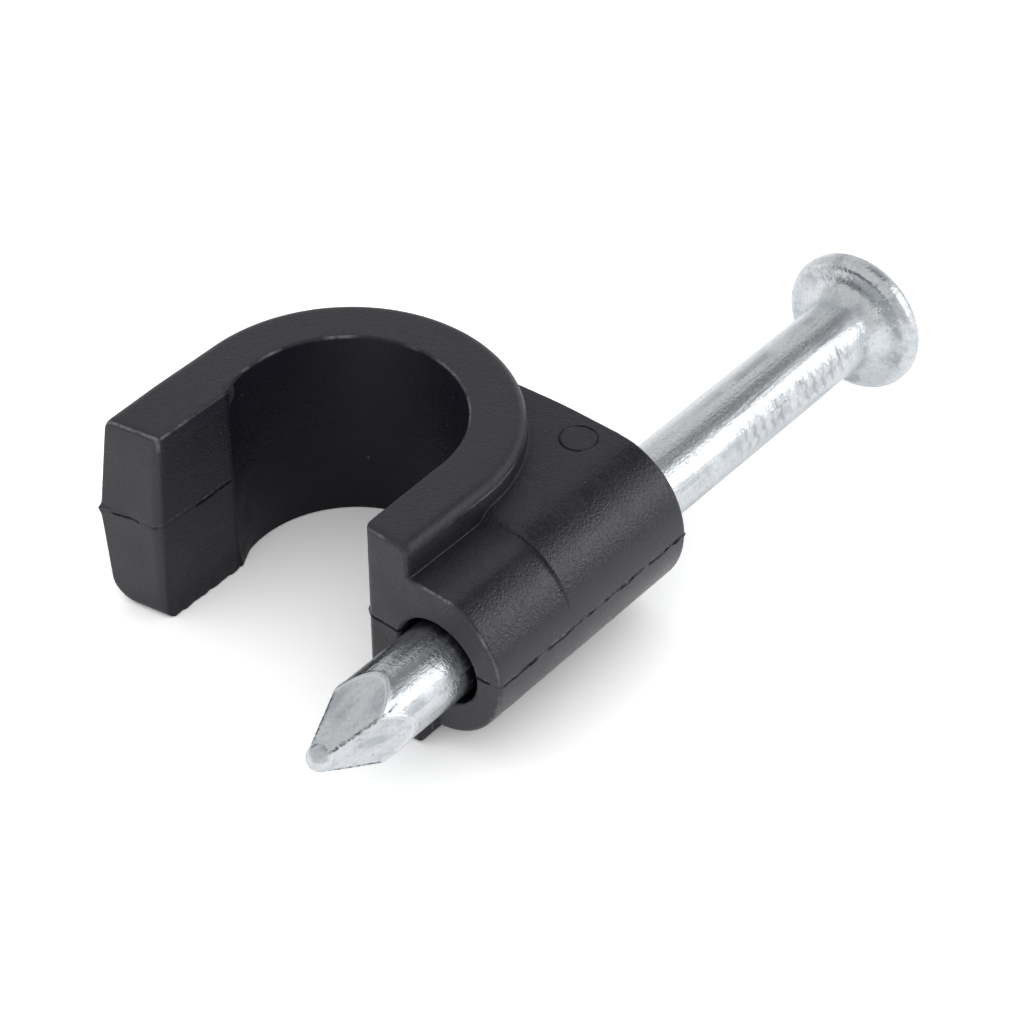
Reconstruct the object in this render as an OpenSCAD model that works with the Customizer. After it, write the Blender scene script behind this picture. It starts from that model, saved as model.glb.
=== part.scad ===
// Nail-in cable clip: a moulded hook with a nail boss on its side, and the nail that goes through the boss.
// It lies on one face of the hook, with the nail along Y and its point towards -Y.

/* [Cable hook] */
// Diameter of the cable that the hook holds
cable_d = 7; // [5:0.1:10]
// Width of the hook, measured along the cable
hook_w = 6.6; // [5:0.1:9]
// Wall of the hook at its two faces
hook_wall = 1.63; // [1:0.01:2]
// Extra wall at the mid-plane, left by the draft of the two mould halves
hook_draft = 0.19; // [0.02:0.01:0.5]
// Distance from the centre of the cable to the front face of the boss
leg_len = 3.25; // [1.8:0.05:6]
// How much further the free leg reaches than the boss, at its outer side
free_extra = 1.44; // [0.3:0.01:3]
// Slant of the free leg's end in degrees, which makes its outer side the longer one
end_slant = 10.5; // [0:0.5:20]
// How far the lip of the free leg stands into the mouth
lip = 0.32; // [0.1:0.02:0.8]

/* [Edges of the hook] */
// Rounding of the upper outer edge
upper_out_r = 0.32; // [0.1:0.01:0.6]
// Rounding of the upper inner edge
upper_in_r = 0.12; // [0.04:0.01:0.4]
// Rounding of the lower outer edge
lower_out_r = 0.75; // [0.1:0.05:0.9]
// Rounding of the lower inner edge
lower_in_r = 0.1; // [0.1:0.05:0.7]
// Rounding of the upright corners at the ends of the legs
end_r = 0.3; // [0.1:0.05:0.5]

/* [Nail boss] */
// Radius of the rounded side of the boss
boss_r = 2.55; // [2.2:0.05:3.2]
// How far the rounded side is set towards the hook from the nail's axis
boss_shift = 0.25; // [0:0.05:0.5]
// How far the back of the boss stands past the crown of the hook, or short of it where negative
back_margin = -0.11; // [-0.5:0.01:1]
// Length of the lower front part of the boss
front_len = 3.15; // [1:0.05:4.5]
// Step from the front part up to the back part on the rounded side
front_step = 0.15; // [0.05:0.01:0.4]
// How much lower the two flats of the front part are than those of the back part
front_flat = 0.31; // [0.05:0.01:0.5]
// Rounding of the front and back edges of the boss
boss_edge_r = 0.25; // [0.05:0.05:0.4]
// Distance from the outer face of the hook to the nail's axis
nail_gap = 1.02; // [0.8:0.01:2.5]
// How far the nail's axis lies below the mid-plane of the hook
nail_drop = 0.25; // [0:0.05:0.5]

/* [Nail] */
// Diameter of the shank
nail_d = 2.35; // [1.8:0.05:2.6]
// Length from the underside of the head to the tip
nail_len = 24.6; // [18:0.1:40]
// How far the head stands off the back of the boss before the nail is driven
nail_stand = 11.23; // [4:0.01:20]
// Length of the four-sided point
point_len = 2.9; // [2:0.05:5]
// Half the width of the point where it runs into the round tip
point_half = 0.27; // [0.1:0.01:0.3]
// Radius of the round tip
tip_r = 0.4; // [0.2:0.05:0.6]
// Diameter of the head
head_d = 4.6; // [3.6:0.1:6]
// Thickness of the head
head_t = 0.75; // [0.7:0.05:1.2]
// Rounding of the rim of the head
head_edge_r = 0.3; // [0.1:0.05:0.3]
// Fillet between the shank and the head
head_fillet = 0.5; // [0.2:0.05:0.6]

/* [Fits] */
// Clearance all round the nail in its bore
nail_clear = 0.04; // [0.02:0.01:0.1]
// Gap all round the nail at the mouth of the bore
mouth_gap = 0.19; // [0.1:0.01:0.3]
// Depth of the wider mouth
mouth_len = 1.5; // [0.5:0.1:3]

/* [Hidden] */
$fn = 96;
slack = 1;
seat_r = cable_d / 2;
half_w = hook_w / 2;
outer_r = seat_r + hook_wall;
wall_r = seat_r + hook_wall / 2;
cable_x = -(nail_gap + outer_r);
boss_len = leg_len + outer_r + back_margin;
head_y = boss_len + nail_stand;
tip_y = head_y - nail_len;
nail_r = nail_d / 2;
bore_r = nail_r + nail_clear;
mouth_r = nail_r + mouth_gap;
point_a = atan((nail_r - point_half) / (point_len - tip_r));
// Roundings stay inside the wall that carries them
round_max = 0.48 * hook_wall;
// The box of the whole clip, which sets the origin under its centre
x_lo = cable_x - outer_r - hook_draft;
x_hi = max(head_d / 2, boss_r - boss_shift);
y_lo = min(tip_y, -free_extra);
y_hi = head_y + head_t;
z_lo = -max(half_w, boss_r, nail_drop + head_d / 2);

function unit(v) = v / norm(v);
// Where the rounding of corner b, between its neighbours a and c, starts, ends and has its centre
function half_angle(a, b, c) = acos(unit(a - b) * unit(c - b)) / 2;
function start_of(a, b, c, r) = b + unit(a - b) * r / tan(half_angle(a, b, c));
function end_of(a, b, c, r) = b + unit(c - b) * r / tan(half_angle(a, b, c));
function centre_of(a, b, c, r) = b + unit(unit(a - b) + unit(c - b)) * r / sin(half_angle(a, b, c));

// A convex outline whose corners are rounded by true arcs; a radius of 0 leaves a corner sharp
module rounded(p, r) {
  n = len(p);
  polygon([for (i = [0 : n - 1])
    let (a = p[(i + n - 1) % n], b = p[i], c = p[(i + 1) % n])
    each r[i] > 0 ? [start_of(a, b, c, r[i]), end_of(a, b, c, r[i])] : [b]]);
  for (i = [0 : n - 1])
    if (r[i] > 0)
      translate(centre_of(p[(i + n - 1) % n], p[i], p[(i + 1) % n], r[i]))
        circle(r[i]);
}

// Section of the hook: x outwards from the cable's axis, y up; the outer side leans in from the mid-plane
module section(inner_r) {
  rounded(
    [[inner_r, -half_w], [outer_r, -half_w], [outer_r + hook_draft, 0], [outer_r, half_w], [inner_r, half_w]],
    [min(lower_in_r, round_max), min(lower_out_r, round_max), 0,
     min(upper_out_r, round_max), min(upper_in_r, round_max)]);
}

// A straight leg that runs from the cable's axis towards -Y, with its two upright end corners rounded;
// where its end is slanted, the outer side has the full length
module leg(inner_r, length, slant = 0) {
  r = min(end_r, round_max);
  out_r = outer_r + hook_draft;
  short = (out_r - inner_r) * tan(slant);
  intersection() {
    rotate([90, 0, 0])
      linear_extrude(length)
        section(inner_r);
    translate([0, 0, -half_w])
      linear_extrude(hook_w)
        rounded(
          [[inner_r, short - length], [out_r, -length], [out_r, 0], [inner_r, 0]],
          [r, r, 0, 0]);
  }
}

module hook() {
  translate([cable_x, leg_len, 0]) {
    rotate_extrude(angle = 180)
      section(seat_r);
    leg(seat_r, leg_len);
    difference() {
      mirror([1, 0, 0])
        leg(seat_r - lip, leg_len + free_extra, end_slant);
      translate([0, 0, -half_w - slack])
        cylinder(r = seat_r, h = hook_w + 2 * slack);
    }
  }
}

// Plan of the web between the hook and the rounded side of the boss
module web_plan() {
  difference() {
    translate([cable_x, 0])
      square([-boss_shift - cable_x, boss_len]);
    translate([cable_x, leg_len])
      circle(wall_r);
    translate([cable_x - slack, -slack])
      square([wall_r + slack, leg_len + slack]);
  }
}

// Outline of the boss seen from the side: x is the height over the mid-plane, y runs from front to back
module side(height, from, to, r_from, r_to) {
  rounded([[-height, from], [height, from], [height, to], [-height, to]], [r_from, r_from, r_to, r_to]);
}

// A slab from the cable's axis to past the rounded side, between the two flats of one length of the boss
module between_flats(drop, from, to, r_from, r_to) {
  rotate([0, -90, 0])
    translate([0, 0, -boss_r])
      linear_extrude(boss_r - cable_x)
        side(boss_r - drop, from, to, r_from, r_to);
}

// One length of the boss: its web and its rounded side, cut to the height of its flats
module boss_part(flat_drop, round_drop, from, to, r_from, r_to) {
  intersection() {
    translate([0, 0, -boss_r])
      linear_extrude(2 * boss_r)
        web_plan();
    between_flats(flat_drop, from, to, r_from, r_to);
  }
  intersection() {
    intersection_for (s = [-1, 1])
      translate([-boss_shift, 0, s * round_drop])
        rotate([-90, 0, 0])
          rotate([0, 0, -90])
            rotate_extrude(angle = 180)
              intersection() {
                side(boss_r, from, to, r_from, r_to);
                translate([0, from - slack])
                  square([boss_r + slack, to - from + 2 * slack]);
              }
    between_flats(flat_drop, from, to, r_from, r_to);
  }
}

module clip_body() {
  color("#2e2e31")
    translate([-(x_lo + x_hi) / 2, -(y_lo + y_hi) / 2, -z_lo])
      difference() {
        union() {
          hook();
          boss_part(front_flat, front_step, 0, front_len, boss_edge_r, 0);
          boss_part(0, 0, front_len, boss_len, 0, boss_edge_r);
        }
        // Bore for the nail, with a wider mouth in front and a lead-in for the fillet of the head behind
        translate([0, 0, -nail_drop])
          rotate([-90, 0, 0])
            rotate_extrude()
              polygon([
                [0, -slack], [mouth_r, -slack], [mouth_r, mouth_len], [bore_r, mouth_len],
                [bore_r, boss_len - head_fillet], [bore_r + head_fillet, boss_len],
                [bore_r + head_fillet, boss_len + slack], [0, boss_len + slack]]);
      }
}

// Profile of the nail: x is the radius, y runs from the tip at -nail_len to the head at 0
module nail_profile() {
  translate([0, tip_r - nail_len])
    square([nail_r, nail_len - tip_r]);
  difference() {
    translate([0, -head_fillet])
      square([nail_r + head_fillet, head_fillet + head_t / 2]);
    translate([nail_r + head_fillet, -head_fillet])
      circle(head_fillet);
  }
  intersection() {
    rounded([[-head_d / 2, 0], [head_d / 2, 0], [head_d / 2, head_t], [-head_d / 2, head_t]],
            [head_edge_r, head_edge_r, head_edge_r, head_edge_r]);
    square([head_d, head_t]);
  }
}

module nail() {
  color("#c4c9cf")
    translate([-(x_lo + x_hi) / 2, head_y - (y_lo + y_hi) / 2, -z_lo - nail_drop])
      rotate([-90, 0, 0]) {
        difference() {
          rotate_extrude()
            nail_profile();
          // Four flats that pinch the shank to its point
          for (a = [0 : 90 : 270])
            rotate([0, 0, a])
              translate([nail_r, 0, point_len - nail_len])
                rotate([0, point_a, 0])
                  translate([0, -nail_d, -2 * point_len])
                    cube([nail_d, 2 * nail_d, 2 * point_len + nail_d]);
        }
        translate([0, 0, tip_r - nail_len])
          sphere(tip_r);
      }
}

clip_body();
nail();
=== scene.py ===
import math
import bpy
import numpy as np
from mathutils import Matrix, Vector


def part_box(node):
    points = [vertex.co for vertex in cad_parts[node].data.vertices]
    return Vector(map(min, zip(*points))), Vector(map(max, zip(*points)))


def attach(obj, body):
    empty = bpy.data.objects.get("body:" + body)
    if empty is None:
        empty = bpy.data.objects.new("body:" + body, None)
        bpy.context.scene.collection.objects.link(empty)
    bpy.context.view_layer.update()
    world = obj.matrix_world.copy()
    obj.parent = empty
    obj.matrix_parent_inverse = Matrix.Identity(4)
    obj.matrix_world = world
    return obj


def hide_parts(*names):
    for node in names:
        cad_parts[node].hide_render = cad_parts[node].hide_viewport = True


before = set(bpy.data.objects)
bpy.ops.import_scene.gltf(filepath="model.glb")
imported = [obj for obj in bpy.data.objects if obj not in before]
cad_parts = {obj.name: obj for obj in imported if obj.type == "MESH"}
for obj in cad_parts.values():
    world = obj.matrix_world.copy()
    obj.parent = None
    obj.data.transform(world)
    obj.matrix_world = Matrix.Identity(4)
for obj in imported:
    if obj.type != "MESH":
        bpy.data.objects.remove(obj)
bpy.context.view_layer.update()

clipLow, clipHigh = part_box("clip_body")
nailLow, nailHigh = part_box("nail")
print("frame loaded:", sorted(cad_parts))

# All shapes and patterns are worked out in millimetres: the nail's axis is x = 0, the front face of the boss
# y = 0, and the parting plane of the mould z = 0. clipOrigin is that point in the frame, which is in metres.
mm = 1e-3
hook = dict(
    seatRadius=3.5, wall=1.63, draft=0.16, width=6.6, legLength=3.25, lip=0.32, nailGap=1.02,
    widening=0.07,                                                # of the seat, down the leg beside the boss
    freeExtra=1.52, slant=0.185, lean=0.05, endDraft=0.14, taper=0.07, endRun=0.8,  # the free leg's end
    upperOut=0.32, upperIn=0.1, lowerOut=0.75, lowerIn=0.06, leastRounding=0.03,    # edge roundings
    endIn=0.3, endOut=0.14, endTop=0.16, endLow=0.3,              # roundings at the ends of the legs
    flash=0.03, flashHeight=0.1, flashHalf=0.05, flashInside=0.3,  # ridge left at the parting plane
    nib=0.2, nibAt=2.0, nibHalf=0.14,                             # burr where the lip ends
    lowFlash=0.11, endNib=0.2, otherNib=0.1)                      # flash on the lower edge and on two corners
tipAhead = 5.1  # how far the nail's tip stands in front of the boss
clipOrigin = np.array([
    (nailLow.x + nailHigh.x) / 2, nailLow.y + tipAhead * mm, (clipLow.z + clipHigh.z) / 2])
outerRadius = hook["seatRadius"] + hook["wall"]
cableX = -(hook["nailGap"] + outerRadius)
nailZ = ((nailLow.z + nailHigh.z) / 2 - clipOrigin[2]) / mm  # the nail's axis, under the parting plane


# Moves a finished piece from millimetres into the frame
def toFrame(piece):
    points = np.zeros(len(piece.data.vertices) * 3, np.float32)
    piece.data.vertices.foreach_get("co", points)
    points = points.reshape(-1, 3).astype(float) * mm + clipOrigin
    piece.data.vertices.foreach_set("co", points.astype(np.float32).ravel())
    piece.data.update()


# Runs from 0 to 1 between two limits along 3 t^2 - 2 t^3
def smoothStep(x, low, high):
    t = np.clip((x - low) / (high - low), 0, 1)
    return t * t * (3 - 2 * t)


# Smooth seeded waviness along a length: a few sines of unlike periods, between about -1 and 1
def waviness(x, seed, period):
    phases = np.random.default_rng(seed).uniform(0, 6.28, 4)
    shares, heights = (1, 0.61, 0.37, 0.23), (0.4, 0.3, 0.2, 0.1)
    x = np.asarray(x, float)
    waves = [np.sin(x * 2 * np.pi / (period * share) + phase) for share, phase in zip(shares, phases)]
    return sum(wave * height for wave, height in zip(waves, heights))


# A closed skin over a grid of points [along][around]: quads between rings, and a fan over each end, or the
# last ring joined to the first
def skinGrid(name, grid, looped=False):
    along, around = grid.shape[:2]
    verts = grid.reshape(-1, 3)
    i = np.arange(along if looped else along - 1)[:, None]
    j = np.arange(around)[None, :]
    k, m = (j + 1) % around, (i + 1) % along
    quads = np.stack([i * around + j, i * around + k, m * around + k, m * around + j], -1).reshape(-1, 4)
    tris = np.zeros((0, 3), int)
    if not looped:
        verts = np.vstack([verts, grid[0].mean(0), grid[-1].mean(0)])
        first, last, n = along * around, along * around + 1, (along - 1) * around
        ring = np.arange(around)
        nextRing = (ring + 1) % around
        tris = np.vstack([np.stack([nextRing, ring, np.full(around, first)], -1),
                          np.stack([n + ring, n + nextRing, np.full(around, last)], -1)])
    allTris = np.vstack([quads[:, [0, 1, 2]], quads[:, [0, 2, 3]], tris])
    a, b, c = (verts[allTris[:, corner]] for corner in range(3))
    if (a * np.cross(b, c)).sum() < 0:  # turn the skin so that it faces outwards
        quads, tris = quads[:, ::-1], tris[:, ::-1]
    mesh = bpy.data.meshes.new(name)
    loops = np.concatenate([quads.ravel(), tris.ravel()])
    starts = np.concatenate([np.arange(len(quads)) * 4, len(quads) * 4 + np.arange(len(tris)) * 3])
    mesh.vertices.add(len(verts))
    mesh.vertices.foreach_set("co", verts.astype(np.float32).ravel())
    mesh.loops.add(len(loops))
    mesh.loops.foreach_set("vertex_index", loops.astype(np.int32))
    mesh.polygons.add(len(starts))
    mesh.polygons.foreach_set("loop_start", starts.astype(np.int32))
    mesh.update(calc_edges=True)
    mesh.validate()
    piece = bpy.data.objects.new(name, mesh)
    bpy.context.scene.collection.objects.link(piece)
    return piece


# Rings that round off an end: depth r - r cos a and inset r - r sin a, as a runs over a quarter turn
def endRounding(steps):
    a = np.linspace(0, np.pi / 2, steps)
    return 1 - np.cos(a), 1 - np.sin(a)


# A bell that is 1 at a point and falls off as exp(-d^2) over its half widths
def closeTo(points, centre, halves):
    return np.exp(-(((points - np.array(centre)) / np.array(halves)) ** 2).sum(-1))


# Section of the hook: a rectangle with four unlike corner arcs, from inner radius to outer radius, whose
# outer side swells by the draft towards the parting plane. Every value may be one number for each ring.
def hookSection(*values):
    inner, inset, ridge, nib, lowFlash, taper = (np.atleast_1d(value)[:, None] for value in values)
    inner = inner + inset * hook["endIn"]
    outer = outerRadius - taper - inset * hook["endOut"]
    top = hook["width"] / 2 - inset * hook["endTop"]
    low = -hook["width"] / 2 + inset * hook["endLow"]

    def radius(key):
        return np.maximum(hook[key] - inset * hook["endOut"], hook["leastRounding"])

    def arc(s, z, r, start):
        a = np.radians(np.linspace(start, start + 90, 10))[None, :]
        return s + r * np.cos(a), z + r * np.sin(a)

    def edge(s0, z0, s1, z1, w):
        return s0 + (s1 - s0) * w, z0 + (z1 - z0) * w

    upOut, upIn, lowOut, lowIn = radius("upperOut"), radius("upperIn"), radius("lowerOut"), radius("lowerIn")
    even = np.linspace(0, 1, 9)[None, 1:-1]
    # points along the sides, closer together at the parting plane
    mid = 0.5 + hook["flashHeight"] / hook["width"]
    coarse = np.linspace(0, 1, 15)[1:-1]
    fine = np.concatenate([coarse[np.abs(coarse - mid) > 0.04], mid + np.linspace(-0.03, 0.03, 13)])
    fine = np.sort(fine)[None, :]
    parts = [
        arc(outer - lowOut, low + lowOut, lowOut, -90), edge(outer, low + lowOut, outer, top - upOut, fine),
        arc(outer - upOut, top - upOut, upOut, 0), edge(outer - upOut, top, inner + upIn, top, even),
        arc(inner + upIn, top - upIn, upIn, 90),
        edge(inner, top - upIn, inner, low + lowIn, 1 - fine[:, ::-1]),
        arc(inner + lowIn, low + lowIn, lowIn, 180), edge(inner + lowIn, low, outer - lowOut, low, even)]
    s = np.hstack([np.broadcast_to(part[0], (len(inner), part[0].shape[1])) for part in parts])
    z = np.hstack([np.broadcast_to(part[1], (len(inner), part[1].shape[1])) for part in parts])
    share = np.clip((s - inner) / (outer - inner), 0, 1)
    onInside = 1 - smoothStep(share, 0, 0.3)
    s = s + (hook["draft"] + taper) * share * (1 - np.abs(z) * 2 / hook["width"])
    s = s - nib * smoothStep(z, 2.7, 3.15) * onInside
    s = s - lowFlash * (1 - smoothStep(z, -3.25, -2.9)) * onInside
    bump = ridge * np.exp(-((z - hook["flashHeight"]) / hook["flashHalf"]) ** 2)
    return s + bump * np.where(share > 0.9, 1, np.where(share < 0.1, -hook["flashInside"], 0)), z


# The hook: its section carried up the free leg, round the seat and down the leg beside the boss
def makeHook():
    depth, inset = endRounding(9)
    leg, end, fineFrom = hook["legLength"], -hook["freeExtra"], 1.2
    seat, lipRadius = hook["seatRadius"], hook["seatRadius"] - hook["lip"]
    freeY = np.concatenate([
        end + depth * hook["endIn"], np.linspace(end + hook["endIn"], fineFrom, 18)[1:],
        np.linspace(fineFrom, leg, 40)[1:]])
    bossY = np.concatenate([np.linspace(leg, hook["endIn"], 20)[1:], (depth * hook["endIn"])[::-1][1:]])
    turn = np.radians(np.linspace(180, 0, 97)[1:])
    nFree, nTurn, nBoss = len(freeY), len(turn), len(bossY)
    ox = np.full(nFree + nTurn + nBoss, cableX)
    oy = np.concatenate([freeY, np.full(nTurn, leg), bossY])
    dx = np.concatenate([np.full(nFree, -1.0), np.cos(turn), np.ones(nBoss)])
    dy = np.concatenate([np.zeros(nFree), np.sin(turn), np.zeros(nBoss)])
    onFree = np.arange(len(ox)) < nFree
    # the inside of the free leg is the lip, or the circle of the seat where that lies further out
    circle = np.sqrt(np.maximum(seat ** 2 - (leg - freeY) ** 2, 0))
    widened = seat + hook["widening"] * (1 - bossY / leg)
    inner = np.concatenate([np.maximum(lipRadius, circle), np.full(nTurn, seat), widened])
    insetAll = np.zeros(len(ox))
    insetAll[:len(inset)] = inset
    insetAll[-len(inset):] = inset[::-1]
    # the flash varies with the way run along the hook
    midRadius = 4.2
    run = np.concatenate([freeY, leg + (np.pi - turn) * midRadius, leg + np.pi * midRadius + leg - bossY])
    ridge = hook["flash"] * np.clip(0.7 + 0.6 * waviness(run, 3, 2.3) + 0.4 * waviness(run, 4, 0.5), 0, 1.3)
    nib = np.where(onFree, hook["nib"] * np.exp(-((oy - hook["nibAt"]) / hook["nibHalf"]) ** 2), 0)
    nib = nib * (1 + 0.5 * waviness(oy, 5, 0.3))
    lowFlash = hook["lowFlash"] * onFree * (1 - smoothStep(oy, 1.7, 2.6)) * (1 + 0.35 * waviness(oy, 12, 0.7))
    nearEnd = np.clip((hook["endRun"] - oy) / (hook["endRun"] - end), 0, 1) * onFree
    s, z = hookSection(inner, insetAll, ridge, nib, lowFlash, hook["taper"] * nearEnd)
    # the free leg's end slopes back towards its inner side, leans a little and swells at the parting plane
    slope = hook["slant"] * (outerRadius + hook["draft"] - s) + hook["lean"] * z
    slope = (slope - hook["endDraft"] * (1 - np.abs(z) * 2 / hook["width"])) * nearEnd[:, None]
    grid = np.stack([ox[:, None] + s * dx[:, None], oy[:, None] + s * dy[:, None] + slope, z], -1)
    # a nib of flash on the outer corner of that end, and a smaller one on the inner corner of the other leg
    corner = (cableX - outerRadius - hook["draft"], end - hook["endDraft"], hook["flashHeight"])
    near = closeTo(grid, corner, (0.2, 0.25, 0.13))
    nearOther = closeTo(grid, (cableX + seat, 0.1, hook["flashHeight"]), (0.2, 0.25, 0.1))
    grid[..., 1] = grid[..., 1] - hook["endNib"] * near
    grid[..., 0] = grid[..., 0] - hook["otherNib"] * nearOther
    return skinGrid("hook", grid)


boss = dict(
    radius=2.55, shift=0.25, backMargin=-0.11, frontLength=3.15, frontStep=0.15, frontFlat=0.31, edge=0.12,
    lowerHigh=2.70, sideTrim=0.055, lineWide=0.035, backSlope=0.15, front=0.004, blend=0.03,
    flash=0.045, endFlash=0.03, mostFlash=0.053, flashTurn=0.014)  # ridge on the round side
bossLength = hook["legLength"] + outerRadius + boss["backMargin"]


# The boss: a flat-topped outline with one round side, carried from the front to the back. Its flats meet the
# hook in a hair-thin fillet. Behind the front part the height steps up, sharply on the round side and softly
# on the flats.
def makeBoss():
    depth, inset = endRounding(8)
    r, e, step, blend = boss["radius"], boss["edge"], boss["frontLength"], boss["blend"]
    y = np.concatenate([
        boss["front"] + depth * e, np.linspace(e, step - 0.06, 26)[1:], step + np.linspace(-0.05, 0.05, 9),
        np.linspace(step + 0.06, bossLength - e, 52), (bossLength - depth * e)[::-1][1:]])
    insetY = np.zeros(len(y))
    insetY[:len(inset)] = inset * e
    insetY[-len(inset):] = inset[::-1] * e
    y, insetY = y[:, None], insetY[:, None]

    def stepped(drop, soft):  # how much lower the front part is
        return drop * (1 - smoothStep(y, step - soft, step + soft))

    # the flats run from the middle of the hook's wall to the round side
    wallRadius = hook["seatRadius"] + hook["wall"] / 2
    rise = np.clip(y - hook["legLength"], 0, wallRadius)
    left = cableX + np.sqrt(wallRadius ** 2 - rise ** 2)
    right = -boss["shift"]
    w = np.linspace(0, 1, 60)[None, :]
    flatX = left + (right - left) * w
    # how far a point of the flat lies from the face of the hook, and the fillet's height there
    face = outerRadius + hook["draft"] * (1 - r * 2 / hook["width"])
    away = np.hypot(flatX - cableX, np.maximum(y - hook["legLength"], 0)) - face
    fillet = boss["lineWide"] * np.clip(1 - away / boss["lineWide"], 0, 1) ** 1.5
    # angles of the round side, closer together at the ragged ridge of flash
    lineAt = math.asin(hook["flashHeight"] / r)
    phi = np.linspace(np.pi / 2, -np.pi / 2, 101)[1:-1]
    phi = np.concatenate([phi[np.abs(phi - lineAt) > 0.05], lineAt + np.linspace(-0.04, 0.04, 13)])
    phi = np.sort(phi)[None, ::-1]
    ragged = np.clip(0.5 + 0.9 * waviness(y, 6, 2.1) + 0.6 * waviness(y, 7, 0.4), 0, 1)
    ridge = boss["flash"] * ragged + boss["endFlash"] * smoothStep(y, bossLength - 0.5, bossLength - 0.1)
    offLine = phi - lineAt - 0.012 * waviness(y, 11, 0.9)
    ridge = np.minimum(ridge, boss["mostFlash"]) * np.exp(-(offLine / boss["flashTurn"]) ** 2)
    # the upper half is a circle, let down in front and cut off by the flat with a soft corner, and the lower
    # half is an ellipse
    flatZ = r - insetY - stepped(boss["frontFlat"], 0.2 + 1.1 * (1 - w) ** 2)
    cut = r - insetY - stepped(boss["frontFlat"], 0.2)
    arc = (r - insetY) * np.sin(phi) - stepped(boss["frontStep"], 0.03) * smoothStep(phi, 0.15, 0.65)
    arc = -blend * np.logaddexp(-arc / blend, -cut / blend)
    lowZ = -(boss["lowerHigh"] - insetY) * np.ones_like(flatX)
    sideX = right + (r - boss["sideTrim"] - insetY) * np.cos(phi) + ridge
    sideZ = np.where(phi > 0, arc, (boss["lowerHigh"] - insetY) * np.sin(phi))
    topZ = np.minimum(flatZ, -blend * np.logaddexp(-r / blend, -cut / blend)) + fillet
    backW = np.linspace(-1, 1, 33)[None, 1:-1]
    x = np.hstack([flatX, sideX, flatX[:, ::-1], np.broadcast_to(left, (len(y), backW.shape[1]))])
    backZ = lowZ[:, :1] + (topZ[:, :1] - lowZ[:, :1]) * (backW + 1) / 2
    z = np.hstack([topZ, sideZ, lowZ[:, ::-1], backZ])
    # the back face falls away a little towards the hook
    fallen = boss["backSlope"] * smoothStep(-x, 1.8, 4.8) * smoothStep(y, 6.5, 8.2)
    outside = np.stack([x, y - fallen, z], -1)
    # the way back through the bore: each point turns from its direction at the back to that at the front
    backTurn, frontTurn = (np.arctan2(ring[:, 2] - nailZ, ring[:, 0]) for ring in (outside[-1], outside[0]))
    run = boreProfile()
    share = (run[:, 1:] - boss["front"]) / (bossLength - boss["front"])
    turn = np.unwrap(frontTurn) + (np.unwrap(backTurn) - np.unwrap(frontTurn)) * share
    inside = spun(run, turn)
    between = np.linspace(0, 1, 6)[1:-1, None, None]
    backFace = outside[-1] + (inside[0] - outside[-1]) * between
    frontFace = inside[-1] + (outside[0] - inside[-1]) * between
    return skinGrid("boss", np.concatenate([outside, backFace, inside, frontFace]), looped=True)


stub = dict(left=-1.3, right=-0.26, low=-3.27, high=-2.55, front=-0.44, back=0.9, edge=0.12, square=0.3)


# The stub of the gate under the boss: a bar with a superellipse section, rounded at its front end
def makeStub():
    depth, inset = endRounding(6)
    y = np.concatenate([stub["front"] + depth * stub["edge"], [stub["back"]]])[:, None]
    shrink = np.concatenate([inset * stub["edge"], [0]])[:, None]
    a = np.linspace(0, 2 * np.pi, 49)[None, :-1]
    halfX = (stub["right"] - stub["left"]) / 2 - shrink
    halfZ = (stub["high"] - stub["low"]) / 2 - shrink
    x = (stub["left"] + stub["right"]) / 2 + halfX * np.sign(np.cos(a)) * np.abs(np.cos(a)) ** stub["square"]
    z = (stub["low"] + stub["high"]) / 2 + halfZ * np.sign(np.sin(a)) * np.abs(np.sin(a)) ** stub["square"]
    return skinGrid("stub", np.stack([x, np.broadcast_to(y, x.shape), z], -1))


nail = dict(
    radius=1.175, length=24.6, stand=11.23, pointLength=2.9, pointHalf=0.32, tipRadius=0.4, headRadius=2.3,
    headThick=0.75, headEdge=0.32, fillet=0.7, clear=0.04, mouthGap=0.19, mouthDepth=1.5,
    marksAt=0.36, markPitch=0.42, markDepth=0.05,  # the grip marks: their angle, spacing and depth
    burr=0.018, burrHalf=0.035, burrFrom=1.2, burrTo=3.1)  # round the flats of the point


# A surface spun about the nail's axis: radius and place along the axis for each ring, at the given angles
def spun(run, turn):
    radius, y = run[..., :1], run[..., 1:]
    x = radius * np.cos(turn)
    return np.stack([x, np.broadcast_to(y, x.shape), nailZ + radius * np.sin(turn)], -1)


# The bore from back to front, as radius against depth: lead-in, grip, and the wider mouth with its soft edge
def boreProfile():
    grip, mouth, deep = nail["radius"] + nail["clear"], nail["radius"] + nail["mouthGap"], nail["mouthDepth"]
    straight = np.linspace(bossLength - nail["fillet"], deep + 0.3, 24)
    wide = np.linspace(deep, 0.2, 8)
    return np.concatenate([
        [[grip + nail["fillet"], bossLength]], np.stack([np.full(24, grip), straight], -1),
        np.stack([np.full(8, mouth), wide], -1),
        [[mouth + 0.01, 0.12], [mouth + 0.04, 0.05], [mouth + 0.1, boss["front"]]]])


# The same bore as a solid a hair wider, to clear the wall of the hook
def makeBore():
    run = boreProfile()[1:] + np.array([0.012, 0])
    run = np.concatenate([run, [[run[-1, 0], -0.4]]])
    return skinGrid("bore", spun(run, np.linspace(0, 2 * np.pi, 97)[None, :-1]))


# Joins or cuts two closed skins and keeps the result in the first
def combine(piece, other, operation):
    join = piece.modifiers.new("join", "BOOLEAN")
    join.operation = operation
    join.solver = "EXACT"
    join.object = other
    graph = bpy.context.evaluated_depsgraph_get()
    result = bpy.data.meshes.new_from_object(piece.evaluated_get(graph))
    piece.modifiers.clear()
    piece.data = result
    bpy.data.objects.remove(other)


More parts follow.
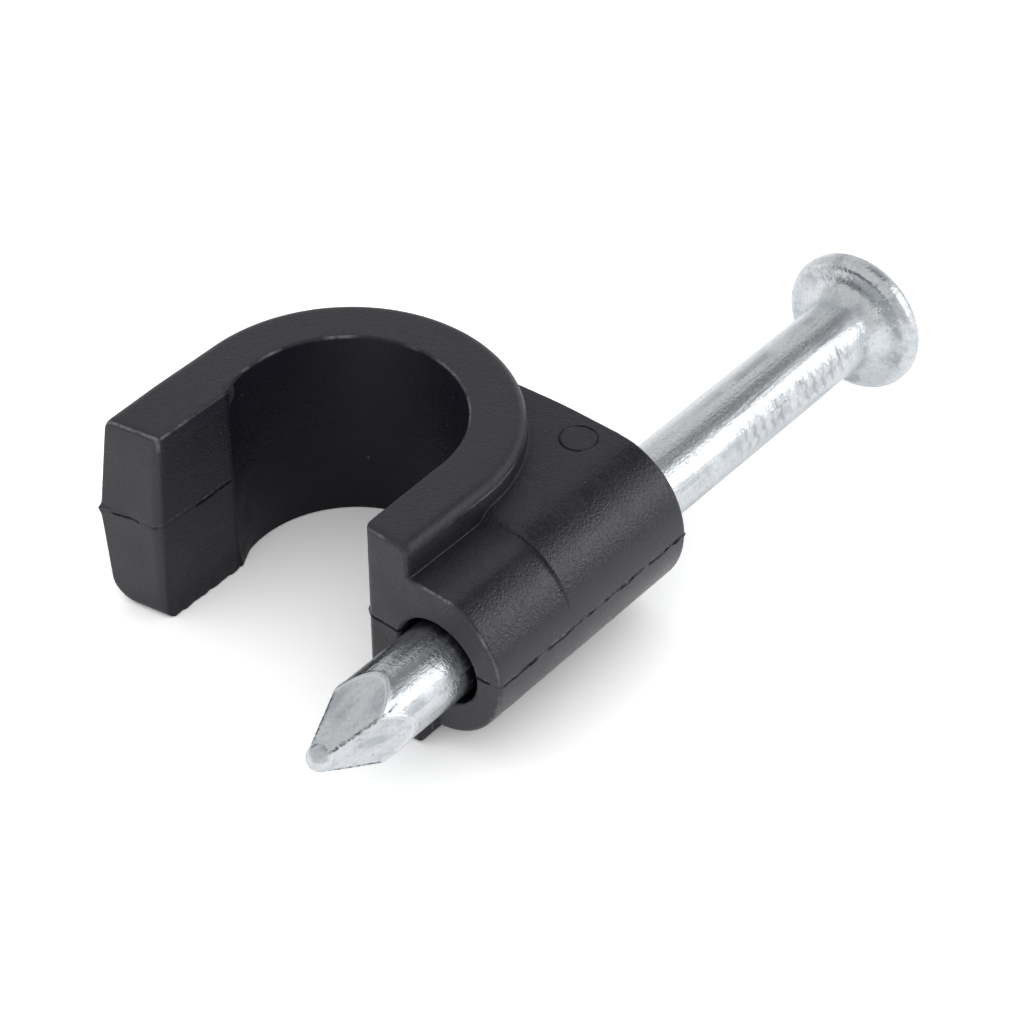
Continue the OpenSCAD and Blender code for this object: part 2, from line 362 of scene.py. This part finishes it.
clipPiece, bossPiece = makeHook(), makeBoss()
combine(clipPiece, makeBore(), "DIFFERENCE")
combine(clipPiece, bossPiece, "UNION")
combine(clipPiece, makeStub(), "UNION")
clipPiece.name = clipPiece.data.name = "moulded_clip"
toFrame(clipPiece)
clipPiece.data.shade_smooth()
clipPiece.data.set_sharp_from_angle(angle=math.radians(32))
print("moulded clip:", len(clipPiece.data.polygons), "faces")


# The nail: radius as a function of height and angle. The point is the nearest of four leaning flats, never
# more than the shank, and never less than the round tip. The head is a profile of fillet, underside, round
# rim and top.
def makeNail():
    headY = bossLength + nail["stand"]
    tipY = headY - nail["length"]
    keys = ("radius", "tipRadius", "headRadius", "headThick", "headEdge", "fillet")
    rs, rt, rh, th, ed, fi = (nail[key] for key in keys)
    fineTo = tipY + nail["burrTo"]
    tipA = np.linspace(0.02, np.pi / 2, 14)
    shankY = np.concatenate([
        tipY + rt - rt * np.cos(tipA), np.linspace(tipY + rt, fineTo, 130)[1:],
        np.linspace(fineTo, headY - fi, 420)[1:]])
    filletA = np.linspace(0, np.pi / 2, 12)[1:]
    rimA = np.linspace(-np.pi / 2, np.pi / 2, 22)
    rimY = np.where(rimA < 0, headY + ed, headY + th - ed) + ed * np.sin(rimA)
    headRun = np.concatenate([
        np.stack([rs + fi - fi * np.cos(filletA), headY - fi + fi * np.sin(filletA)], -1),
        np.stack([np.linspace(rs + fi, rh - ed, 7)[1:-1], np.full(5, headY)], -1),
        np.stack([rh - ed + ed * np.cos(rimA), rimY], -1),
        np.stack([np.linspace(rh - ed, 0.05, 9)[1:], np.full(8, headY + th)], -1)])
    a = np.linspace(0, 2 * np.pi, 145)[None, :-1]
    y = shankY[:, None]
    slope = (rs - nail["pointHalf"]) / (nail["pointLength"] - rt)
    apothem = nail["pointHalf"] + (y - tipY - rt) * slope
    turned = (a + np.pi / 4) % (np.pi / 2) - np.pi / 4
    flats = apothem / np.cos(turned)
    ball = np.sqrt(np.maximum(rt ** 2 - (y - tipY - rt) ** 2, 0))
    radius = np.where(y < tipY + rt, ball, np.maximum(np.minimum(flats, rs), ball))
    # shallow grip marks across two sides of the shank, below the head
    phase = (y + 0.08 * np.sin(3 * a)) * 2 * np.pi / nail["markPitch"] + 2 * waviness(y, 8, 3)
    marks = np.clip(np.sin(phase), 0, 1) ** 2
    marks = marks * smoothStep(y, headY - 7.5, headY - 6.5) * (1 - smoothStep(y, headY - 1.7, headY - 1.2))
    facing = np.cos(a - nail["marksAt"])
    marks = marks * (smoothStep(facing, 0.88, 0.98) + smoothStep(-facing, 0.88, 0.98))
    radius = radius - nail["markDepth"] * marks * (0.6 + 0.4 * waviness(y, 9, 1.7))
    # a thin burr where the flats run out into the shank
    burr = nail["burr"] * np.exp(-((flats - rs) / nail["burrHalf"]) ** 2)
    radius = radius + burr * (y < fineTo) * (y > tipY + nail["burrFrom"])
    shank = np.stack([radius * np.cos(a), np.broadcast_to(y, radius.shape), nailZ + radius * np.sin(a)], -1)
    return skinGrid("zinc_nail", np.concatenate([shank, spun(headRun, a)]))


nailPiece = makeNail()
toFrame(nailPiece)
nailPiece.data.shade_smooth()
nailPiece.data.set_sharp_from_angle(angle=math.radians(60))
print("nail:", len(nailPiece.data.polygons), "faces")


# A material with its shader ready, and small helpers that add and wire nodes
def newMaterial(name):
    mat = bpy.data.materials.new(name)
    mat.use_nodes = True
    return mat, mat.node_tree, mat.node_tree.nodes["Principled BSDF"]


# Links a socket to an input, or sets the input to a value
def feed(tree, socket, value):
    if isinstance(value, bpy.types.NodeSocket):
        tree.links.new(value, socket)
    else:
        socket.default_value = value


def addNode(tree, kind, inputs=None, **settings):
    node = tree.nodes.new(kind)
    for key, value in settings.items():
        setattr(node, key, value)
    for key, value in (inputs or {}).items():
        feed(tree, node.inputs[key], value)
    return node.outputs[0]


def calc(tree, operation, a, b=0.0):
    return addNode(tree, "ShaderNodeMath", {0: a, 1: b}, operation=operation)


def plus(tree, a, b):
    return calc(tree, "ADD", a, b)


def minus(tree, a, b):
    return calc(tree, "SUBTRACT", a, b)


def times(tree, first, *others):
    for other in others:
        first = calc(tree, "MULTIPLY", first, other)
    return first


def largest(tree, first, *others):
    for other in others:
        first = calc(tree, "MAXIMUM", first, other)
    return first


# The distance between two numbers
def apart(tree, a, b):
    return calc(tree, "ABSOLUTE", minus(tree, a, b))


def ramp(tree, value, low, high, toLow=0.0, toHigh=1.0):
    inputs = {0: value, 1: low, 2: high, 3: toLow, 4: toHigh}
    return addNode(tree, "ShaderNodeMapRange", inputs, interpolation_type="SMOOTHSTEP")


# 1 where a value is close to a centre, and 0 from the half width on
def band(tree, value, centre, half):
    return ramp(tree, apart(tree, value, centre), half * 0.3, half, 1.0, 0.0)


def blendColour(tree, share, a, b):
    node = tree.nodes.new("ShaderNodeMix")
    node.data_type = "RGBA"
    for index, value in ((0, share), (6, a), (7, b)):  # the sockets for colours
        feed(tree, node.inputs[index], value)
    return node.outputs[2]


# Noise in the piece's own coordinates; its scale is per metre
def noise(tree, place, scale, detail, rough=0.5):
    inputs = {"Vector": place, "Scale": scale, "Detail": detail, "Roughness": rough}
    return addNode(tree, "ShaderNodeTexNoise", inputs)


def vectorNode(tree, operation, a, b):
    second = 3 if operation == "SCALE" else 1
    return addNode(tree, "ShaderNodeVectorMath", {0: a, second: b}, operation=operation)


# The piece's own coordinates, and x, y and z in millimetres from clipOrigin
def objectPlace(tree):
    place = tree.nodes.new("ShaderNodeTexCoord").outputs["Object"]
    local = vectorNode(tree, "SCALE", vectorNode(tree, "SUBTRACT", place, tuple(clipOrigin)), 1 / mm)
    x, y, z = addNode(tree, "ShaderNodeSeparateXYZ", {0: local}).node.outputs
    return place, x, y, z


plastic = dict(
    colour=(0.0092, 0.0083, 0.0138, 1), paleMottleAndSheen=(0.0188, 0.0164, 0.0245, 1), ends=(0.023, 0.0205, 0.0285, 1),
    glintsAndSpecks=(0.13, 0.125, 0.135, 1), lineShade=(0.002, 0.002, 0.003, 1),
    rough=0.42, roundRough=0.25, grain=0.85, grainDepth=0.03, cellBend=0.13,
    fineScale=11000.0, cellScale=13000.0, beadScale=8000.0, speckScale=1100.0,
    wanderScale=900.0, cloudScale=700.0,
    lineCore=0.025, lineHalf=0.07, lineWander=0.05,                                # the flash line
    ringCore=0.015, ringHalf=0.06, ejectorAt=(-0.95, 7.3), ejectorRadius=0.55,     # the ejector's ring
    edgeHalf=0.05, thinEdgeHalf=0.045, beadHalf=0.04)                              # widths of the painted highlights on the edges


# Black moulded plastic: fine grain everywhere, a leathery grain on the round side of the boss, a broken flash
# line on the parting plane and the ring of an ejector pin on the upper flat of the boss, both darkened with
# painted shade, painted highlights along the edges, painted light on the upper and end faces, painted shade
# in the seat, and a few specks
def makePlastic():
    mat, tree, shader = newMaterial("black_moulding")
    place, x, y, z = objectPlace(tree)
    fine = noise(tree, place, plastic["fineScale"], 2.0, 0.7)
    cloudy = noise(tree, place, plastic["cloudScale"], 2.0, 0.65)
    beads = noise(tree, place, plastic["beadScale"], 2.0, 0.7)
    wander = noise(tree, place, plastic["wanderScale"], 2.0, 0.7)
    bent = noise(tree, place, plastic["beadScale"], 0.0).node.outputs["Color"]
    bent = vectorNode(tree, "ADD", place, vectorNode(tree, "SCALE", bent, plastic["cellBend"] * mm))
    cells = addNode(tree, "ShaderNodeTexVoronoi", {"Vector": bent, "Scale": plastic["cellScale"]})
    specks = addNode(tree, "ShaderNodeTexVoronoi", {"Vector": place, "Scale": plastic["speckScale"]})
    onRound = ramp(tree, x, -0.4, 0.4)
    flatPlace = addNode(tree, "ShaderNodeCombineXYZ", {0: x, 1: y})

    def farFrom(atX, atY):
        return vectorNode(tree, "DISTANCE", flatPlace, (atX, atY, 0.0)).node.outputs["Value"]

    # flash line, darkened with painted shade as in a gap: close to the parting plane, wandering a little,
    # broken in places, and weaker in the seat
    outOfSeat = ramp(tree, farFrom(cableX, hook["legLength"]), hook["seatRadius"], hook["seatRadius"] + 0.1)
    level = minus(tree, z, hook["flashHeight"])
    level = plus(tree, level, ramp(tree, wander, 0.25, 0.75, -plastic["lineWander"], plastic["lineWander"]))
    lineShade = ramp(tree, calc(tree, "ABSOLUTE", level), plastic["lineCore"], plastic["lineHalf"], 1.0, 0.0)
    lineShade = times(tree, lineShade, ramp(tree, wander, 0.42, 0.54, 0.15, 0.9))
    lineShade = times(tree, lineShade, ramp(tree, outOfSeat, 0.0, 1.0, 0.25, 1.0))
    # ejector ring: a thin groove at one distance from a point of the upper flat, darkened with painted shade
    offRing = apart(tree, farFrom(*plastic["ejectorAt"]), plastic["ejectorRadius"])
    ring = ramp(tree, offRing, plastic["ringCore"], plastic["ringHalf"], 1.0, 0.0)
    ring = times(tree, ring, ramp(tree, z, 2.0, 2.2), ramp(tree, wander, 0.4, 0.6, 0.3, 0.9))
    dark = largest(tree, lineShade, ring)
    # painted highlights on the edges: along the inner and outer edges of the upper face, and round the ends
    # of the legs and the boss. reach is the distance from the seat's axis, or from the middle of the opening
    # between the legs.
    ahead = largest(tree, minus(tree, y, hook["legLength"]), 0.0)
    across = minus(tree, x, cableX)
    reach = addNode(tree, "ShaderNodeCombineXYZ", {0: across, 1: ahead})
    reach = vectorNode(tree, "LENGTH", reach, (0.0, 0.0, 0.0)).node.outputs["Value"]
    top = hook["width"] / 2
    freeSide = ramp(tree, across, -0.1, 0.1, 1.0, 0.0)
    bossSide = minus(tree, 1.0, freeSide)
    lipped = times(tree, freeSide, ramp(tree, y, 1.6, 1.9, 1.0, 0.0))
    innerAt = minus(tree, hook["seatRadius"] + 0.03, times(tree, lipped, hook["lip"]))
    innerEdge = ramp(tree, z, top - 0.12, top - 0.05)
    innerEdge = times(tree, band(tree, reach, innerAt, plastic["thinEdgeHalf"]), innerEdge)
    outerEdge = ramp(tree, reach, outerRadius - 0.1, outerRadius)
    outerEdge = times(tree, band(tree, z, top - 0.3, plastic["edgeHalf"]), outerEdge)
    frontEdge = times(tree, band(tree, y, 0.05, plastic["thinEdgeHalf"]), bossSide)
    # distance from the sloping end of the free leg
    endAway = plus(tree, y, times(tree, reach, hook["slant"]))
    endAway = minus(tree, endAway, times(tree, z, hook["lean"]))
    endAt = hook["slant"] * (outerRadius + hook["draft"]) - hook["freeExtra"]
    endEdge = times(tree, freeSide, ramp(tree, z, top - 0.6, top - 0.3))
    endEdge = times(tree, band(tree, endAway, endAt + 0.06, plastic["edgeHalf"]), endEdge)
    # painted highlights on the beads of flash just above the parting line
    beadLine = times(tree, band(tree, level, 0.09, plastic["beadHalf"]), outOfSeat)
    beadLine = times(tree, beadLine, ramp(tree, beads, 0.5, 0.62, 0.0, 0.8))
    glintsAndSpecks = largest(tree, innerEdge, outerEdge, frontEdge, endEdge, beadLine)
    glintsAndSpecks = times(tree, glintsAndSpecks, ramp(tree, beads, 0.32, 0.6, 0.35, 1.0), ramp(tree, cloudy, 0.42, 0.6, 0.1, 1.0))
    glintsAndSpecks = largest(tree, glintsAndSpecks, ramp(tree, specks, 0.02, 0.04, 1.0, 0.0))
    # painted light: the upper face of the hook is a little paler than the flats of the boss below it, and the
    # lower part of the round side is paler as a painted reflection of the floor; the rest of the paling is
    # random mottling
    faces = plus(tree, ramp(tree, z, 2.62, 2.8, 0.1, 0.7), ramp(tree, cloudy, 0.35, 0.7, 0.0, 0.3))
    faces = plus(tree, faces, ramp(tree, beads, 0.3, 0.7, -0.35, 0.45))
    faces = plus(tree, faces, times(tree, onRound, ramp(tree, z, 0.4, 1.6, 0.6, 0.0)))
    # painted shade: inside the seat the tone stays at the darkest colour
    tone = blendColour(tree, times(tree, faces, outOfSeat), plastic["colour"], plastic["paleMottleAndSheen"])
    # painted light: the ends of the legs and the upper half of the front face are the palest, as a painted
    # reflection of the floor in front
    frontFace = times(tree, bossSide, ramp(tree, y, 0.01, 0.06, 1.0, 0.0), ramp(tree, z, -0.6, 0.2))
    endFace = times(tree, freeSide, ramp(tree, endAway, endAt + 0.02, endAt + 0.1, 1.0, 0.0))
    tone = blendColour(tree, largest(tree, frontFace, endFace), tone, plastic["ends"])
    # painted highlights on the edges and beads, and a few pale specks
    tone = blendColour(tree, glintsAndSpecks, tone, plastic["glintsAndSpecks"])
    # painted shade darkens the flash line and the ejector ring
    feed(tree, shader.inputs["Base Color"], blendColour(tree, dark, tone, plastic["lineShade"]))
    rough = ramp(tree, cloudy, 0.3, 0.7, plastic["rough"] - 0.05, plastic["rough"] + 0.06)
    rough = minus(tree, rough, times(tree, onRound, plastic["rough"] - plastic["roundRough"]))
    feed(tree, shader.inputs["Roughness"], rough)
    # the shine is weaker in dark lines, and on the inner faces and in the seat as painted shade
    shine = times(tree, ramp(tree, dark, 0.0, 1.0, 0.5, 0.04), ramp(tree, outOfSeat, 0.0, 1.0, 0.55, 1.0))
    shine = times(tree, shine, ramp(tree, minus(tree, reach, innerAt), -0.01, 0.06, 0.72, 1.0))
    shine = times(tree, shine, ramp(tree, onRound, 0.0, 1.0, 1.0, 1.1))
    feed(tree, shader.inputs["Specular IOR Level"], shine)
    shader.inputs["IOR"].default_value = 1.5
    leathery = times(tree, cells, onRound, ramp(tree, z, 0.4, 1.3, 0.06, 0.34))
    grain = plus(tree, times(tree, fine, ramp(tree, onRound, 0.0, 1.0, 0.9, 0.25)), leathery)
    grain = minus(tree, grain, times(tree, dark, 1.5))
    bump = {"Strength": plastic["grain"], "Distance": plastic["grainDepth"] * mm, "Height": grain}
    feed(tree, shader.inputs["Normal"], addNode(tree, "ShaderNodeBump", bump))
    return mat


zinc = dict(
    colour=(0.78, 0.81, 0.84, 1), dull=(0.52, 0.55, 0.58, 1), scratchAndShade=(0.40, 0.42, 0.44, 1),
    ridge=(0.12, 0.12, 0.13, 1), burr=(0.85, 0.87, 0.89, 1),
    rough=0.21, burrRough=0.3, grain=0.75, grainDepth=0.02,
    drawn=0.06, streakScale=7000.0, broadScale=2200.0, pitScale=9000.0, cloudScale=900.0)


# Bright zinc on drawn wire: streaks and scratches that run along the nail, small pits, a cloudy dulling,
# painted shade in the grooves of the grip marks, and on the point painted shade along the ridges and a bright
# burr round the flats
def makeZinc():
    mat, tree, shader = newMaterial("bright_zinc")
    place, x, y, z = objectPlace(tree)
    drawn = addNode(tree, "ShaderNodeMapping", {"Vector": place, "Scale": (1.0, zinc["drawn"], 1.0)})
    streaks = noise(tree, drawn, zinc["streakScale"], 3.0, 0.6)
    broad = noise(tree, drawn, zinc["broadScale"], 2.0, 0.6)
    pits = noise(tree, place, zinc["pitScale"], 3.0, 0.7)
    cloudy = noise(tree, place, zinc["cloudScale"], 2.0, 0.6)
    dulled = times(tree, ramp(tree, broad, 0.4, 0.7), ramp(tree, cloudy, 0.35, 0.65))
    dulled = plus(tree, dulled, ramp(tree, pits, 0.35, 0.65, 0.0, 0.32))
    tone = blendColour(tree, dulled, zinc["colour"], zinc["dull"])
    scratched = times(tree, ramp(tree, streaks, 0.56, 0.70), ramp(tree, pits, 0.45, 0.62))
    tone = blendColour(tree, scratched, tone, zinc["scratchAndShade"])
    # painted shade along the ridges between the flats of the point, where the two sides are equally far from
    # the axis
    height = minus(tree, z, nailZ)
    sideways, upwards = calc(tree, "ABSOLUTE", x), calc(tree, "ABSOLUTE", height)
    fromTip = plus(tree, y, tipAhead)
    onPoint = times(tree, ramp(tree, fromTip, 2.4, 2.7, 1.0, 0.0), ramp(tree, fromTip, 0.35, 0.55))
    ridgeShade = ramp(tree, apart(tree, sideways, upwards), 0.03, 0.09, 1.0, 0.0)
    ridgeShade = times(tree, ridgeShade, onPoint, ramp(tree, pits, 0.4, 0.6, 0.2, 1.0))
    tone = blendColour(tree, ridgeShade, tone, zinc["ridge"])
    # painted shade in the grooves of the grip marks: a sine along the frame's y, on the sides where the marks
    # are
    facing = times(tree, x, math.cos(nail["marksAt"]))
    facing = plus(tree, facing, times(tree, height, math.sin(nail["marksAt"])))
    facing = calc(tree, "ABSOLUTE", facing)
    onSide = ramp(tree, facing, 0.86 * nail["radius"], 0.97 * nail["radius"])
    wave = times(tree, plus(tree, y, clipOrigin[1] / mm), 2 * math.pi / nail["markPitch"])
    wave = plus(tree, wave, times(tree, broad, 9.0))
    headTop = (nailHigh.y - clipOrigin[1]) / mm
    groove = times(tree, ramp(tree, calc(tree, "SINE", wave), 0.2, 0.9, 0.0, 0.7), onSide)
    groove = times(tree, groove, ramp(tree, cloudy, 0.35, 0.6, 0.4, 1.0))
    groove = times(tree, groove, ramp(tree, y, headTop - 8.3, headTop - 7.3))
    groove = times(tree, groove, ramp(tree, y, headTop - 2.7, headTop - 2.0, 1.0, 0.0))
    tone = blendColour(tree, groove, tone, zinc["scratchAndShade"])
    # the burr lies where a flat meets the round of the shank
    slope = (nail["radius"] - nail["pointHalf"]) / (nail["pointLength"] - nail["tipRadius"])
    flatAt = times(tree, minus(tree, fromTip, nail["tipRadius"]), slope)
    flatAt = plus(tree, flatAt, nail["pointHalf"])
    offFlat = apart(tree, largest(tree, sideways, upwards), flatAt)
    radial = calc(tree, "SQRT", plus(tree, times(tree, sideways, sideways), times(tree, upwards, upwards)))
    atRim = ramp(tree, radial, nail["radius"] - 0.05, nail["radius"] - 0.02)
    burr = times(tree, ramp(tree, offFlat, 0.006, 0.016, 1.0, 0.0), atRim)
    feed(tree, shader.inputs["Base Color"], blendColour(tree, burr, tone, zinc["burr"]))
    rough = ramp(tree, broad, 0.3, 0.7, zinc["rough"] - 0.05, zinc["rough"] + 0.1)
    feed(tree, shader.inputs["Roughness"], plus(tree, rough, times(tree, burr, zinc["burrRough"])))
    shader.inputs["Metallic"].default_value = 1.0
    relief = plus(tree, times(tree, streaks, 0.9), times(tree, pits, 1.1))
    bump = {"Strength": zinc["grain"], "Distance": zinc["grainDepth"] * mm, "Height": relief}
    feed(tree, shader.inputs["Normal"], addNode(tree, "ShaderNodeBump", bump))
    return mat


clipPiece.data.materials.clear()
clipPiece.data.materials.append(makePlastic())
nailPiece.data.materials.append(makeZinc())
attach(clipPiece, "clip")
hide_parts("clip_body")
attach(nailPiece, "nail")
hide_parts("nail")
print("materials and bodies set")

studio = dict(
    floorSize=1.2, floorTone=0.93, floorGain=1.55, mirrorGain=1.1, ambient=1.0, zenith=0.62, horizon=0.68,
    glow=dict(way=(0.70, 0.58, 0.41), strength=1.3, low=0.945, high=0.985),
    gap=dict(way=(0.06, 0.58, 0.81), strength=0.42, low=0.93, high=0.975),
    key=dict(at=(0.265, 0.235, 0.18), aim=(0, 0, 0.003), size=0.3, power=0.1))


# A pale floor, shown to the camera with more exposure than the part, as on a lit table, and to reflections
# with a little of that
def makeFloor():
    half = studio["floorSize"] / 2
    mesh = bpy.data.meshes.new("floor")
    corners = [(-half, -half, 0), (half, -half, 0), (half, half, 0), (-half, half, 0)]
    mesh.from_pydata(corners, [], [(0, 1, 2, 3)])
    floor = bpy.data.objects.new("floor", mesh)
    bpy.context.scene.collection.objects.link(floor)
    mat = bpy.data.materials.new("white_ground")
    mat.use_nodes = True
    tree = mat.node_tree
    tree.nodes.clear()
    out = tree.nodes.new("ShaderNodeOutputMaterial")
    tone = studio["floorTone"]
    rays = tree.nodes.new("ShaderNodeLightPath").outputs
    mirrored = largest(tree, rays["Is Glossy Ray"], rays["Is Transmission Ray"])
    level = ramp(tree, rays["Is Camera Ray"], 0.0, 1.0, tone, tone * studio["floorGain"])
    level = plus(tree, level, times(tree, mirrored, tone * (studio["mirrorGain"] - 1)))
    grey = addNode(tree, "ShaderNodeCombineXYZ", {0: level, 1: level, 2: level})
    feed(tree, out.inputs["Surface"], addNode(tree, "ShaderNodeBsdfDiffuse", {"Color": grey}))
    mesh.materials.append(mat)


def makeLight(name, spec):
    data = bpy.data.lights.new(name, "AREA")
    data.shape = "DISK"
    data.size = spec["size"]
    data.energy = spec["power"]
    lamp = bpy.data.objects.new(name, data)
    lamp.location = spec["at"]
    lamp.rotation_euler = (Vector(spec["aim"]) - Vector(spec["at"])).to_track_quat("-Z", "Y").to_euler()
    bpy.context.scene.collection.objects.link(lamp)


# A white room: even light for matt surfaces, and for reflections a dimmer ceiling, a bright panel and a gap
# above it
def makeWorld():
    world = bpy.data.worlds.new("studio")
    bpy.context.scene.world = world
    world.use_nodes = True
    tree = world.node_tree
    way = tree.nodes.new("ShaderNodeTexCoord").outputs["Generated"]
    rise = addNode(tree, "ShaderNodeSeparateXYZ", {0: way}).node.outputs[2]

    def patch(spec):
        aim = tuple(Vector(spec["way"]).normalized())
        toward = vectorNode(tree, "DOT_PRODUCT", way, aim).node.outputs["Value"]
        return ramp(tree, toward, spec["low"], spec["high"], 0.0, spec["strength"])

    mirrored = ramp(tree, rise, 0.1, 0.9, studio["horizon"], studio["zenith"])
    mirrored = plus(tree, mirrored, patch(studio["glow"]))
    mirrored = minus(tree, mirrored, patch(studio["gap"]))
    glossy = tree.nodes.new("ShaderNodeLightPath").outputs["Is Glossy Ray"]
    extra = times(tree, glossy, minus(tree, mirrored, studio["ambient"]))
    background = tree.nodes["Background"]
    background.inputs["Color"].default_value = (1, 1, 1, 1)
    feed(tree, background.inputs["Strength"], plus(tree, extra, studio["ambient"]))


makeFloor()
makeLight("key_softbox", studio["key"])
makeWorld()
bpy.context.scene.view_settings.view_transform = "Standard"

shot = dict(azimuth=39.75, elevation=41.19, distance=0.08902, aim=(0.001689, -0.000875, 0.002385),
            lens=107.12, sensor=36, nearest=0.001, farthest=10)


# The camera looks at the aim point from one azimuth and elevation, with no roll
def makeCamera():
    a, e = math.radians(shot["azimuth"]), math.radians(shot["elevation"])
    back = Vector((math.sin(a) * math.cos(e), -math.cos(a) * math.cos(e), math.sin(e)))
    right = Vector((math.cos(a), math.sin(a), 0))
    turn = Matrix((right, back.cross(right), back)).transposed()
    data = bpy.data.cameras.new("camera")
    data.lens = shot["lens"]
    data.sensor_width = shot["sensor"]
    data.clip_start = shot["nearest"]
    data.clip_end = shot["farthest"]
    cam = bpy.data.objects.new("camera", data)
    cam.matrix_world = Matrix.Translation(Vector(shot["aim"]) + back * shot["distance"]) @ turn.to_4x4()
    bpy.context.scene.collection.objects.link(cam)
    bpy.context.scene.camera = cam


makeCamera()
print("studio and camera set")
